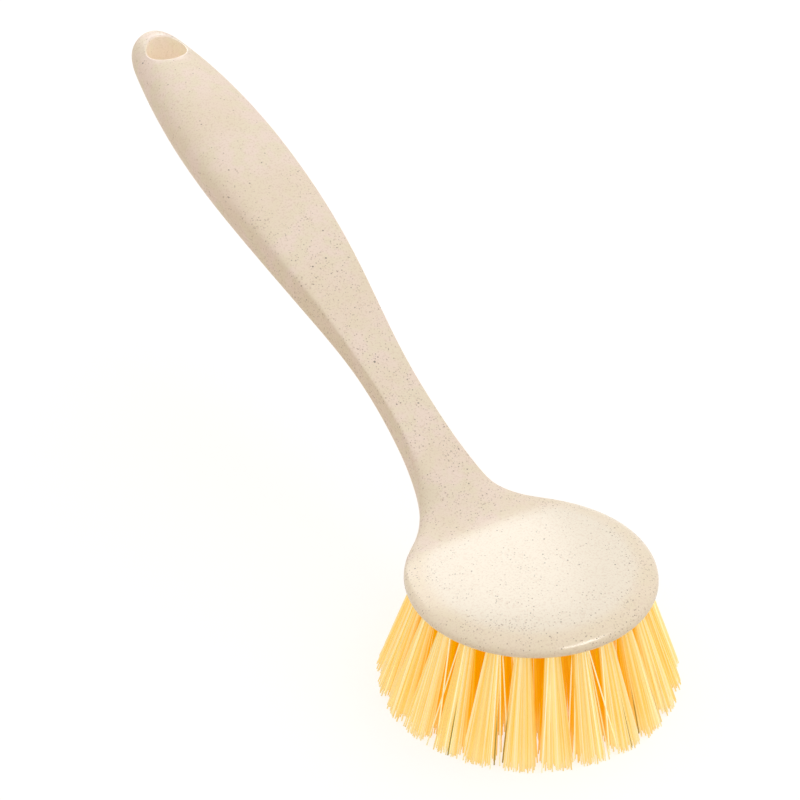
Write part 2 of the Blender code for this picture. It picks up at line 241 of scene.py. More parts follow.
# The studio: the floor and the room are white to the eye, and warmer and softer as lights
WHITE = (1.0, 1.0, 1.0, 1.0)
BLACK = (0.0, 0.0, 0.0, 1.0)
FLOOR_RADIUS = 4.0
FLOOR_SIDES = 96
FLOOR_LIGHT = (0.73, 0.645, 0.54, 1.0)
FLOOR_SEEN = (0.45, 0.45, 0.45, 1.0)
FLOOR_GLOW = 0.65
ROOM_LIGHT = (0.76, 0.710, 0.665, 1.0)

# The photograph's camera and frame
IMAGE_SIZE = 800
HEAD_PIXEL = (531.0, 580.0)
PIXELS_PER_METRE = 3538.0
CAMERA_AZIMUTH = -31.75
CAMERA_ELEVATION = 34.74
CAMERA_DISTANCE = 1.0
CAMERA_CLIP_END = 20.0
SENSOR_WIDTH_MM = 36.0


class Curve:
    """The smoothest curve through stations of reach and value, held past its ends."""

    def __init__(self, reaches, values, start_slope=0.0):
        self.reaches = np.array(reaches)
        self.values = np.array(values)
        spans = np.diff(self.reaches)
        rises = np.diff(self.values) / spans
        system = np.eye(len(reaches))
        wanted = np.zeros(len(reaches))
        system[0, :2] = 2.0 * spans[0], spans[0]
        wanted[0] = 6.0 * (rises[0] - start_slope)
        for i in range(1, len(spans)):
            system[i, i - 1 : i + 2] = spans[i - 1], 2.0 * (spans[i - 1] + spans[i]), spans[i]
            wanted[i] = 6.0 * (rises[i] - rises[i - 1])
        self.bends = np.linalg.solve(system, wanted)

    def __call__(self, reach):
        place = np.clip(reach, self.reaches[0], self.reaches[-1])
        index = np.searchsorted(self.reaches, place, side="right") - 1
        index = np.clip(index, 0, len(self.reaches) - 2)
        span = self.reaches[index + 1] - self.reaches[index]
        t = (place - self.reaches[index]) / span
        bent = ((1.0 - t) ** 3 - (1.0 - t)) * self.bends[index] + (t**3 - t) * self.bends[index + 1]
        return self.values[index] * (1.0 - t) + self.values[index + 1] * t + bent * span**2 / 6.0


# The curves that shape the moulding, from the head to the tip
FLARE_START_HALF_WIDTH = math.sqrt(HEAD_RADIUS**2 - FLARE_START_REACH**2)
CROWN_STATIONS = tuple(CROWN_SHARE * thickness for thickness in STATION_THICKNESSES)
KEEL_STATIONS = tuple((1.0 - CROWN_SHARE) * thickness for thickness in STATION_THICKNESSES)
HALF_WIDTH_CURVE = Curve(
    (FLARE_START_REACH, FLARE_REACH, *STATION_REACHES),
    (FLARE_START_HALF_WIDTH, FLARE_WIDTH / 2.0, *(width / 2.0 for width in STATION_WIDTHS)),
    -FLARE_START_REACH / FLARE_START_HALF_WIDTH,
)
EDGE_CURVE = Curve(
    (HEAD_EDGE_LEVEL_REACH, ROOT_REACH, *STATION_REACHES),
    (RIM_EDGE_HEIGHT, ROOT_LIFT, *STATION_LIFTS),
)
CROWN_CURVE = Curve(
    (RIB_FADE_REACH, ROOT_REACH, *STATION_REACHES),
    (0.0, ROOT_CROWN, *CROWN_STATIONS),
)
BOTTOM_CURVE = Curve(
    (UNDERSIDE_FLAT_REACH, *STATION_REACHES),
    (0.0, *(lift - keel for lift, keel in zip(STATION_LIFTS, KEEL_STATIONS))),
)
CROWN_EXPONENT_CURVE = Curve((ROOT_REACH, *STATION_REACHES[:-1]), CROWN_EXPONENTS)
KEEL_EXPONENT_CURVE = Curve(STATION_REACHES[:4], KEEL_EXPONENTS)


def rounded(share, exponent):
    """Height of a superellipse of unit height at a share of its half width."""
    return (1.0 - np.minimum(1.0, np.abs(share)) ** exponent) ** (1.0 / exponent)


# The moulding's outline and sections, as functions of the reach along Y


def tip_share(reach):
    """How far into the rounded end of the handle a reach lies, from zero to one."""
    return np.maximum(0.0, (reach - TIP_REACH + TIP_ROUNDING) / TIP_ROUNDING)


def half_width(reach):
    """Half width of the moulding seen from above: a disc, a flared neck and the grip."""
    disc = np.sqrt(np.maximum(0.0, HEAD_RADIUS**2 - reach**2))
    grip = HALF_WIDTH_CURVE(reach) * rounded(tip_share(reach), TIP_PLAN_EXPONENT)
    return np.where(reach <= FLARE_START_REACH, disc, grip)


def edge_height(reach):
    """Height of the widest edge, where the two halves of the mould met."""
    return UNDERSIDE_HEIGHT + EDGE_CURVE(reach)


def crown_height(reach):
    """Height of the handle's top above its widest edge; it fades out over the head."""
    return CROWN_CURVE(reach) * rounded(tip_share(reach), TIP_CROWN_EXPONENT)


def keel_depth(reach):
    """Depth of the moulding's bottom below its widest edge; the head's underside is level."""
    depth = EDGE_CURVE(reach) - BOTTOM_CURVE(reach)
    return depth * rounded(tip_share(reach), TIP_KEEL_EXPONENT)


def dome_height(radius):
    """Height of the domed head above its rim edge, at a radius from the head's axis."""
    return DOME_RISE * rounded(radius / HEAD_RADIUS, DOME_EXPONENT)


def width_share(across, reach):
    """How far out to the widest edge a place lies, from zero to one."""
    return np.minimum(1.0, np.abs(across) / np.maximum(half_width(reach), NO_WIDTH))


def lip_drop(across, reach):
    """How far the rounded lip of the hang hole drops below the face around it."""
    inset = np.hypot(across, reach - HANG_REACH) - HANG_HOLE_RADIUS
    short = LIP_ROUNDING - np.clip(inset, 0.0, LIP_ROUNDING)
    return LIP_ROUNDING - np.sqrt(LIP_ROUNDING**2 - short**2)


def top_height(across, reach):
    """Height of the top surface: the dome and the handle's crown blended, and the hole's lip."""
    share = width_share(across, reach)
    along = np.minimum(1.0, np.abs(reach) / HEAD_RADIUS)
    dome = dome_height(HEAD_RADIUS * np.sqrt(along**2 + (1.0 - along**2) * share**2))
    crown = crown_height(reach) * rounded(share, CROWN_EXPONENT_CURVE(reach))
    rise = (dome**BLEND_POWER + crown**BLEND_POWER) ** (1.0 / BLEND_POWER)
    return edge_height(reach) + rise - lip_drop(across, reach)


def bottom_height(across, reach):
    """Height of the bottom surface: a flat disc, then a rounded keel, and the hole's lip."""
    share = width_share(across, reach)
    along = np.clip(-reach / HEAD_RADIUS, 0.0, 1.0)
    radius_share = np.sqrt(along**2 + (1.0 - along**2) * share**2)
    flat_share = 1.0 - RIM_EDGE_HEIGHT / HEAD_RADIUS
    disc = rounded(np.maximum(0.0, radius_share - flat_share) / (1.0 - flat_share), CIRCLE_EXPONENT)
    keel = rounded(share, KEEL_EXPONENT_CURVE(reach))
    t = np.clip((reach - UNDERSIDE_FLAT_REACH) / (NECK_REACH - UNDERSIDE_FLAT_REACH), 0.0, 1.0)
    blend = t * t * (3.0 - 2.0 * t)
    depth = keel_depth(reach) * (disc * (1.0 - blend) + keel * blend)
    return edge_height(reach) - depth + lip_drop(across, reach)


# The moulding's mesh: cross-sections from the head to the grip, then a patch round the hang hole


class Surface:
    """Collects one mesh as rows of points and the faces between them."""

    def __init__(self):
        self.points = []
        self.faces = []

    def add_row(self, across, reach, height):
        start = len(self.points)
        self.points.extend(Vector(point) for point in zip(across, reach, height))
        return list(range(start, len(self.points)))

    def join(self, first, second):
        """Faces between two closed rows of as many points."""
        for i in range(len(first)):
            j = (i + 1) % len(first)
            self.faces.append((first[i], first[j], second[j], second[i]))

    def close(self, row, point):
        """A fan of faces from a closed row to one point."""
        centre = len(self.points)
        self.points.append(Vector(point))
        self.faces.extend((centre, row[i], row[(i + 1) % len(row)]) for i in range(len(row)))

    def to_mesh(self, name):
        mesh = bpy.data.meshes.new(name)
        mesh.from_pydata(self.points, [], self.faces)
        shape = bmesh.new()
        shape.from_mesh(mesh)
        bmesh.ops.recalc_face_normals(shape, faces=shape.faces)
        shape.to_mesh(mesh)
        shape.free()
        return mesh


def section_reaches(end):
    """Places of the cross-sections, closer together where the shape turns quickly."""
    quarter = math.pi / 2.0
    reaches = [-HEAD_RADIUS * math.cos(quarter * i / HEAD_STEPS) for i in range(1, HEAD_STEPS)]
    reaches += [NECK_REACH * i / FLARE_STEPS for i in range(FLARE_STEPS)]
    reaches += [NECK_REACH + (end - NECK_REACH) * i / GRIP_STEPS for i in range(GRIP_STEPS + 1)]
    return reaches


def add_section(surface, reach):
    """One cross-section: the edge at +X, the top from right to left, the edge at -X, the bottom."""
    half = SECTION_POINTS // 2
    index = np.arange(SECTION_POINTS)
    turn = np.cos(math.pi * index / half)
    squareness = np.minimum(CROWN_EXPONENT_CURVE(reach), SQUAREST_SPACING)
    across = half_width(reach) * np.sign(turn) * np.abs(turn) ** (CIRCLE_EXPONENT / squareness)
    height = np.where(index < half, top_height(across, reach), bottom_height(across, reach))
    height[[0, half]] = edge_height(reach)
    return surface.add_row(across, np.full(SECTION_POINTS, reach), height)


def end_outline(start):
    """Evenly spaced plan points of the widest edge round the handle's end, from +X to -X."""
    angle = np.linspace(0.0, math.pi, OUTLINE_SAMPLES)
    reach = start + (TIP_REACH - start) * np.sin(angle)
    across = np.copysign(half_width(reach), np.cos(angle))
    length = np.concatenate(([0.0], np.cumsum(np.hypot(np.diff(across), np.diff(reach)))))
    places = length[-1] * np.arange(1, OUTLINE_STEPS) / OUTLINE_STEPS
    return np.interp(places, length, across), np.interp(places, length, reach)


def patch_rows(across, reach, height_at):
    """Rows from a rim to the hang hole's lip, evenly spaced over the surface, then the lip's."""
    distance = np.hypot(across, reach - HANG_REACH)
    direction = np.array((across, reach - HANG_REACH)) / distance
    lip_start = HANG_HOLE_RADIUS + LIP_ROUNDING

    def places(radius):
        x = radius * direction[0]
        y = HANG_REACH + radius * direction[1]
        return x, y, height_at(x, y)

    steps = np.linspace(0.0, 1.0, PATCH_SAMPLES)[:, None] ** PATCH_CROWDING
    radius = distance + (lip_start - distance) * steps
    x, y, z = places(radius)
    runs = np.sqrt(np.diff(radius, axis=0) ** 2 + np.diff(z, axis=0) ** 2)
    length = np.concatenate((np.zeros((1, len(distance))), np.cumsum(runs, axis=0)))
    shares = np.arange(1, PATCH_STEPS + 1) / PATCH_STEPS
    rows = [np.full(len(distance), PARTING_HALF_WIDTH)] + [length[-1] * share for share in shares]
    for wanted in rows:
        columns = range(len(distance))
        yield places(np.array([np.interp(wanted[j], length[:, j], radius[:, j]) for j in columns]))
    for i in range(1, LIP_STEPS + 1):
        inset = LIP_ROUNDING * (1.0 - math.sin(math.pi / 2.0 * i / LIP_STEPS))
        yield places(np.full(len(distance), HANG_HOLE_RADIUS + inset))


def add_end_patch(surface, last):
    """The handle's end: its top and bottom round the hang hole, and the hole's wall."""
    half = SECTION_POINTS // 2
    across, reach = end_outline(surface.points[last[0]].y)
    edges = surface.add_row(across, reach, edge_height(reach))
    tops = [last[i] for i in range(half, -1, -1)]
    bottoms = [last[i % SECTION_POINTS] for i in range(half, SECTION_POINTS + 1)]
    walls = []
    for line, height_at in ((tops, top_height), (bottoms, bottom_height)):
        before = edges + line
        rim = np.array([surface.points[i] for i in before])
        for row in patch_rows(rim[:, 0], rim[:, 1], height_at):
            after = surface.add_row(*row)
            surface.join(before, after)
            before = after
        walls.append(before)
    top, bottom = (np.array([surface.points[i] for i in row]) for row in walls)
    before = walls[0]
    for i in range(1, WALL_STEPS):
        after = surface.add_row(*(top + (bottom - top) * i / WALL_STEPS).T)
        surface.join(before, after)
        before = after
    surface.join(before, walls[1])
    return edges


def sink_parting_line(surface, loops, edges):
    """Sinks a fine line where the mould's halves met, all round the widest edge."""
    half = SECTION_POINTS // 2
    line = [loop[0] for loop in loops] + edges + [loop[half] for loop in reversed(loops)]
    places = [surface.points[i].copy() for i in line]
    for i, index in enumerate(line):
        along = places[(i + 1) % len(line)] - places[i - 1]
        depth = np.interp(places[i].y, PARTING_REACHES, PARTING_DEPTHS)
        surface.points[index] += Vector((-along.y, along.x, 0.0)).normalized() * depth
    for loop in loops:
        for i, side in ((1, 1.0), (half - 1, 1.0), (half + 1, -1.0), (SECTION_POINTS - 1, -1.0)):
            point = surface.points[loop[i]]
            point.x = math.copysign(half_width(point.y), point.x)
            point.z = edge_height(point.y) + side * PARTING_HALF_WIDTH


def moulding_mesh():
    surface = Surface()
    end = HANG_REACH - HANG_HOLE_RADIUS - PATCH_MARGIN
    loops = [add_section(surface, reach) for reach in section_reaches(end)]
    for before, after in zip(loops, loops[1:]):
        surface.join(before, after)
    surface.close(loops[0], (0.0, -HEAD_RADIUS, UNDERSIDE_HEIGHT + RIM_EDGE_HEIGHT))
    edges = add_end_patch(surface, loops[-1])
    sink_parting_line(surface, loops, edges)
    return surface.to_mesh("moulding")


def ring_share(count):
    """How far out a ring lies: none for the centre tuft, one for the outer ring."""
    return count / RINGS[0][1] if count > 1 else 0.0


def ring_radius(count):
    """Radius of a ring of tufts that keeps the outer ring's spacing round the ring."""
    return (HEAD_RADIUS - RING_EDGE_MARGIN) * ring_share(count)


def ring_lean(count):
    return math.radians(OUTER_LEAN_DEGREES) * ring_share(count)


def hole_depth(count):
    """Depth of a ring's blind holes: what the dome leaves over them, less the roof."""
    return RIM_EDGE_HEIGHT + dome_height(ring_radius(count)) - HOLE_ROOF


def hole_cutter():
    """All the blind tuft holes, each a drilled cylinder along its tuft's lean."""
    shape = bmesh.new()
    for _, count, _, _ in RINGS:
        depth = hole_depth(count) + CUT_OVERRUN
        middle = Matrix.Translation((0.0, 0.0, depth / 2.0 - CUT_OVERRUN))
        mouth = Matrix.Translation((ring_radius(count), 0.0, UNDERSIDE_HEIGHT))
        frame_at_mouth = mouth @ Matrix.Rotation(-ring_lean(count), 4, "Y") @ middle
        for i in range(count):
            bmesh.ops.create_cone(
                shape,
                cap_ends=True,
                segments=HOLE_SIDES,
                radius1=TUFT_HOLE_RADIUS,
                radius2=TUFT_HOLE_RADIUS,
                depth=depth,
                matrix=Matrix.Rotation(2.0 * math.pi * (i + 0.5) / count, 4, "Z") @ frame_at_mouth,
            )
    mesh = bpy.data.meshes.new("tuft_holes")
    shape.to_mesh(mesh)
    shape.free()
    return new_object("tuft_holes", mesh)


def new_object(name, mesh):
    item = bpy.data.objects.new(name, mesh)
    bpy.context.scene.collection.objects.link(item)
    return item


def applied(item):
    """The item with its modifiers worked into a plain mesh, which are then removed."""
    bpy.context.view_layer.update()
    evaluated = item.evaluated_get(bpy.context.evaluated_depsgraph_get())
    mesh = bpy.data.meshes.new_from_object(evaluated)
    item.modifiers.clear()
    item.data = mesh
    return item


def make_moulding(material):
    moulding = new_object("moulding", moulding_mesh())
    cutter = hole_cutter()
    cut = moulding.modifiers.new("holes", "BOOLEAN")
    cut.operation = "DIFFERENCE"
    cut.object = cutter
    applied(moulding)
    bpy.data.objects.remove(cutter, do_unlink=True)
    moulding.data.shade_smooth()
    moulding.data.set_sharp_from_angle(angle=math.radians(SHARP_ANGLE_DEGREES))
    moulding.data.materials.clear()
    moulding.data.materials.append(material)
    return moulding


# Node trees


class Nodes:
    """Adds and links the nodes of one tree."""

    def __init__(self, tree):
        self.tree = tree

    def add(self, kind, inputs=None, **settings):
        node = self.tree.nodes.new(kind)
        for name, value in settings.items():
            setattr(node, name, value)
        for name, value in (inputs or {}).items():
            self.put(node.inputs[name], value)
        return node

    def put(self, socket, value):
        if isinstance(value, bpy.types.NodeSocket):
            self.tree.links.new(value, socket)
        else:
            socket.default_value = value

    def math(self, operation, first, second=0.0, **settings):
        kind = "ShaderNodeMath"
        return self.add(kind, {0: first, 1: second}, operation=operation, **settings).outputs[0]

    def product(self, *factors):
        total = factors[0]
        for factor in factors[1:]:
            total = self.math("MULTIPLY", total, factor)
        return total

    def total(self, *terms):
        total = terms[0]
        for term in terms[1:]:
            total = self.math("ADD", total, term)
        return total

    def vector(self, operation, first, second=(0.0, 0.0, 0.0)):
        kind = "ShaderNodeVectorMath"
        return self.add(kind, {0: first, 1: second}, operation=operation).outputs[0]

    def scaled(self, vector, factor):
        kind = "ShaderNodeVectorMath"
        return self.add(kind, {0: vector, "Scale": factor}, operation="SCALE").outputs[0]

    def vector_length(self, vector):
        return self.add("ShaderNodeVectorMath", {0: vector}, operation="LENGTH").outputs["Value"]

    def combined(self, x, y, z):
        return self.add("ShaderNodeCombineXYZ", {0: x, 1: y, 2: z}).outputs[0]

    def map_range(self, value, low, high, to_low, to_high, **settings):
        ranges = {"From Min": low, "From Max": high, "To Min": to_low, "To Max": to_high}
        return self.add("ShaderNodeMapRange", {"Value": value, **ranges}, **settings).outputs[0]

    def mapped(self, value, low, high, to_low=0.0, to_high=1.0):
        """The value brought from one range to another and held inside it, with soft ends."""
        return self.map_range(value, low, high, to_low, to_high, interpolation_type="SMOOTHSTEP")

    def mapped_straight(self, value, low, high, to_low, to_high):
        """The value brought evenly from one range to another."""
        return self.map_range(value, low, high, to_low, to_high, clamp=False)

    def noise(self, place, size, detail=2.0):
        """Soft noise about one half, with features of the given size."""
        inputs = {"Vector": place, "Scale": 1.0 / size, "Detail": detail}
        return self.add("ShaderNodeTexNoise", inputs).outputs["Fac"]

    def mixed(self, factor, first, second):
        node = self.add("ShaderNodeMix", data_type="RGBA")
        self.put(node.inputs["Factor"], factor)
        sockets = [socket for socket in node.inputs if socket.type == "RGBA"]
        self.put(sockets[0], first)
        self.put(sockets[1], second)
        return next(socket for socket in node.outputs if socket.type == "RGBA")


def named_inputs(tree, group_inputs):
    """Gives a tree its named inputs, each with its kind and its value."""
    for name, kind, value in group_inputs:
        socket = tree.interface.new_socket(name=name, in_out="INPUT", socket_type=kind)
        if value is not None:
            socket.default_value = value


def bristle_tree():
    """Geometry nodes for one ring of tufts, from the sizes of its holes and its fans of filaments.

    A tuft is drawn in its ring's own upright plane, with +X outwards, and turned into place.
    """
    tree = bpy.data.node_groups.new("bristle_ring", "GeometryNodeTree")
    tree.interface.new_socket(name="Geometry", in_out="INPUT", socket_type="NodeSocketGeometry")
    named_inputs(
        tree,
        (
            ("Tufts", "NodeSocketInt", 1),
            ("Filaments", "NodeSocketInt", 1),
            ("Ring Radius", "NodeSocketFloat", 0.0),
            ("Lean Slope", "NodeSocketFloat", 0.0),
            ("Ring Shade", "NodeSocketFloat", 0.0),
            ("Root Height", "NodeSocketFloat", UNDERSIDE_HEIGHT),
            ("Embed", "NodeSocketFloat", FILAMENT_EMBED),
            ("Bundle Radius", "NodeSocketFloat", BUNDLE_RADIUS),
            ("Fan Around", "NodeSocketFloat", FAN_AROUND),
            ("Fan Outwards", "NodeSocketFloat", FAN_OUTWARDS),
            ("Fan Inwards", "NodeSocketFloat", FAN_INWARDS),
            ("Fan Drift", "NodeSocketFloat", FAN_DRIFT),
            ("Tip Jitter", "NodeSocketFloat", TIP_JITTER),
            ("Tip Unevenness", "NodeSocketFloat", TIP_UNEVENNESS),
            ("Bow", "NodeSocketFloat", BOW),
            ("Filament Radius", "NodeSocketFloat", FILAMENT_RADIUS),
            ("Seed", "NodeSocketInt", 0),
            ("Material", "NodeSocketMaterial", None),
        ),
    )
    tree.interface.new_socket(name="Geometry", in_out="OUTPUT", socket_type="NodeSocketGeometry")
    n = Nodes(tree)
    given = n.add("NodeGroupInput").outputs
    count = n.product(given["Tufts"], given["Filaments"])
    points = n.add("GeometryNodePoints", {"Count": count}).outputs[0]
    index = n.add("GeometryNodeInputIndex").outputs[0]
    tuft = n.math("FLOOR", n.math("DIVIDE", n.total(index, 0.5), given["Filaments"]))
    strand = n.math("SUBTRACT", index, n.product(tuft, given["Filaments"]))

    def random(draw, holder=index):
        """A random number from zero to one for each filament, or for each tuft."""
        seed = n.total(given["Seed"], float(draw))
        node = n.add("FunctionNodeRandomValue", {"Seed": seed})
        n.put(next(socket for socket in node.inputs if socket.name == "ID"), holder)
        return next(socket for socket in node.outputs if socket.enabled)

    def either_way(size, draw, holder=index):
        return n.product(size, n.math("SUBTRACT", n.product(random(draw, holder), 2.0), 1.0))

    # A filament's place in its bundle follows a sunflower's seeds; a few stray past the fan's edge
    golden_angle = math.pi * (3.0 - math.sqrt(5.0))
    bundle_share = n.math("SQRT", n.math("DIVIDE", n.total(strand, 0.5), given["Filaments"]))
    around = n.total(n.product(strand, golden_angle), n.product(tuft, TUFT_TWIST))
    outward = n.product(bundle_share, n.math("COSINE", around))
    sideward = n.product(bundle_share, n.math("SINE", around))
    stray_draw = n.math("SUBTRACT", random(1), 1.0 - STRAY_SHARE)
    stray = n.math("MULTIPLY", stray_draw, STRAY_STEEPNESS, use_clamp=True)
    spread = n.total(1.0, n.product(stray, bundle_share, random(8), STRAY_SPREAD))

    embed_slope = n.product(given["Lean Slope"], given["Embed"])
    root_x = n.total(n.product(outward, given["Bundle Radius"]), given["Ring Radius"])
    root_x = n.math("SUBTRACT", root_x, embed_slope)
    root_y = n.product(sideward, given["Bundle Radius"])
    root = n.combined(root_x, root_y, n.total(given["Root Height"], given["Embed"]))

    # At the tips the fans are blunt-sided and bent round the ring, so that they close up to a band
    slice_share = n.math("SQRT", n.math("SUBTRACT", 1.0, n.product(sideward, sideward)))
    blunt = n.math("DIVIDE", outward, n.math("MAXIMUM", slice_share, LEAST_SLICE))
    inwards = n.product(given["Fan Inwards"], -1.0)
    fan_out = n.mapped_straight(blunt, -1.0, 1.0, inwards, given["Fan Outwards"])
    reach_out = n.total(given["Ring Radius"], n.product(given["Lean Slope"], given["Root Height"]))
    fan_around = n.product(sideward, spread, given["Fan Around"])
    tip_y = n.total(fan_around, either_way(given["Tip Jitter"], 3))
    tip_y = n.total(tip_y, either_way(given["Fan Drift"], 9, tuft))
    bend_radius = n.product(2.0, n.math("MAXIMUM", reach_out, given["Fan Around"]))
    bend = n.math("DIVIDE", n.product(tip_y, tip_y), bend_radius)
    tip_x = n.total(reach_out, fan_out, either_way(given["Tip Jitter"], 2))
    tip_x = n.math("SUBTRACT", tip_x, bend)
    shortness = n.math("POWER", random(4), SHORTNESS_POWER)
    slanted_end = n.product(given["Filament Radius"], SLANTED_END_SHARE)
    tip_z = n.total(n.product(shortness, given["Tip Unevenness"]), slanted_end)
    tip = n.combined(tip_x, tip_y, tip_z)
    bow = n.combined(either_way(given["Bow"], 5), either_way(given["Bow"], 6), 0.0)
    turn = n.math("DIVIDE", n.product(n.total(tuft, 0.5), 2.0 * math.pi), given["Tufts"])
    # Painted shade: how far in the shade a filament is painted, from its ring and from its place at the
    # tuft's back
    depth = n.total(given["Ring Shade"], n.mapped(outward, *BACK_SHADE_EDGE))
    depth = n.math("MINIMUM", depth, 1.0)

    def captured(geometry, value, kind):
        node = n.add("GeometryNodeCaptureAttribute", {"Geometry": geometry}, domain="POINT")
        node.capture_items.new(kind, "value")
        n.put(node.inputs[1], value)
        return node.outputs[0], node.outputs[1]

    def stored(geometry, name, value):
        inputs = {"Geometry": geometry, "Name": name, "Value": value}
        return n.add("GeometryNodeStoreNamedAttribute", inputs).outputs[0]

    points, root = captured(points, root, "VECTOR")
    points, tip = captured(points, tip, "VECTOR")
    points, bow = captured(points, bow, "VECTOR")
    points, turn = captured(points, turn, "FLOAT")
    points = stored(points, "tone", random(7))
    points = stored(points, "stray", stray)
    points = stored(points, "shade", n.math("GREATER_THAN", random(10), 1.0 - SHADED_SHARE))
    points = stored(points, "depth", depth)

    line = n.add("GeometryNodeCurvePrimitiveLine", {"End": (0.0, 0.0, 1.0)}).outputs[0]
    line = n.add("GeometryNodeResampleCurve", {"Curve": line, "Count": FILAMENT_POINTS}).outputs[0]
    strands = n.add("GeometryNodeInstanceOnPoints", {"Points": points, "Instance": line}).outputs[0]
    strands = n.add("GeometryNodeRealizeInstances", {"Geometry": strands}).outputs[0]
    along = n.add("GeometryNodeSplineParameter").outputs["Factor"]
    straight = n.vector("ADD", root, n.scaled(n.vector("SUBTRACT", tip, root), along))
    bulge = n.product(along, n.math("SUBTRACT", 1.0, along), 4.0)
    place = n.vector("ADD", straight, n.scaled(bow, bulge))
    turning = {"Vector": place, "Angle": turn}
    turned = n.add("ShaderNodeVectorRotate", turning, rotation_type="Z_AXIS").outputs[0]
    strands = n.add("GeometryNodeSetPosition", {"Geometry": strands, "Position": turned}).outputs[0]
    strands = stored(strands, "along", along)
    circle = {"Resolution": FILAMENT_SIDES, "Radius": given["Filament Radius"]}
    profile = n.add("GeometryNodeCurvePrimitiveCircle", circle).outputs[0]
    sweep = {"Curve": strands, "Profile Curve": profile, "Fill Caps": True}
    tubes = n.add("GeometryNodeCurveToMesh", sweep).outputs[0]
    tubes = n.add("GeometryNodeRealizeInstances", {"Geometry": tubes}).outputs[0]
    finished = n.add("GeometryNodeSetMaterial", {"Geometry": tubes, "Material": given["Material"]})
    n.add("NodeGroupOutput", {"Geometry": finished.outputs[0]})
    return tree


def make_bristles(tree, material):
    pieces = []
    for number, (ring, count, filaments, depth) in enumerate(RINGS):
        piece = new_object("bristles_" + ring, bpy.data.meshes.new("bristles_" + ring))
        modifier = piece.modifiers.new("bristles", "NODES")
        modifier.node_group = tree
        values = {
            "Tufts": count,
            "Filaments": filaments,
            "Ring Radius": ring_radius(count),
            "Lean Slope": math.tan(ring_lean(count)),
            "Ring Shade": depth,
            "Seed": 100 * number,
            "Material": material,
        }
        for item in tree.interface.items_tree:
            if item.name in values:
                modifier[item.identifier] = values[item.name]
        pieces.append(applied(piece))
    return pieces


# Materials


def new_material(name):
    material = bpy.data.materials.new(name)
    material.use_nodes = True
    return material, Nodes(material.node_tree), material.node_tree.nodes["Principled BSDF"]


def speck_group():
    """Specks scattered through the plastic: a mask of small balls, cut by the surface."""
    tree = bpy.data.node_groups.new("specks", "ShaderNodeTree")
    named_inputs(
        tree,
        (
            ("Vector", "NodeSocketVector", None),
            ("Spacing", "NodeSocketFloat", 0.001),
            ("Radius", "NodeSocketFloat", 0.0002),
            ("Share", "NodeSocketFloat", 0.5),
        ),
    )
    tree.interface.new_socket(name="Mask", in_out="OUTPUT", socket_type="NodeSocketFloat")
    n = Nodes(tree)
    given = n.add("NodeGroupInput").outputs
    scale = n.math("DIVIDE", 1.0, given["Spacing"])
    cells = n.add("ShaderNodeTexVoronoi", {"Vector": given["Vector"], "Scale": scale}, feature="F1")
    draws = n.add("ShaderNodeSeparateColor", {0: cells.outputs["Color"]}).outputs
    size = n.product(given["Radius"], scale, n.total(0.45, n.product(draws[1], 0.55)))
    inside = n.mapped(cells.outputs["Distance"], size, n.product(size, 0.6))
    chosen = n.math("LESS_THAN", draws[0], given["Share"])
    strength = n.total(0.5, n.product(draws[2], 0.5))
    n.add("NodeGroupOutput", {"Mask": n.product(inside, chosen, strength)})
    return tree


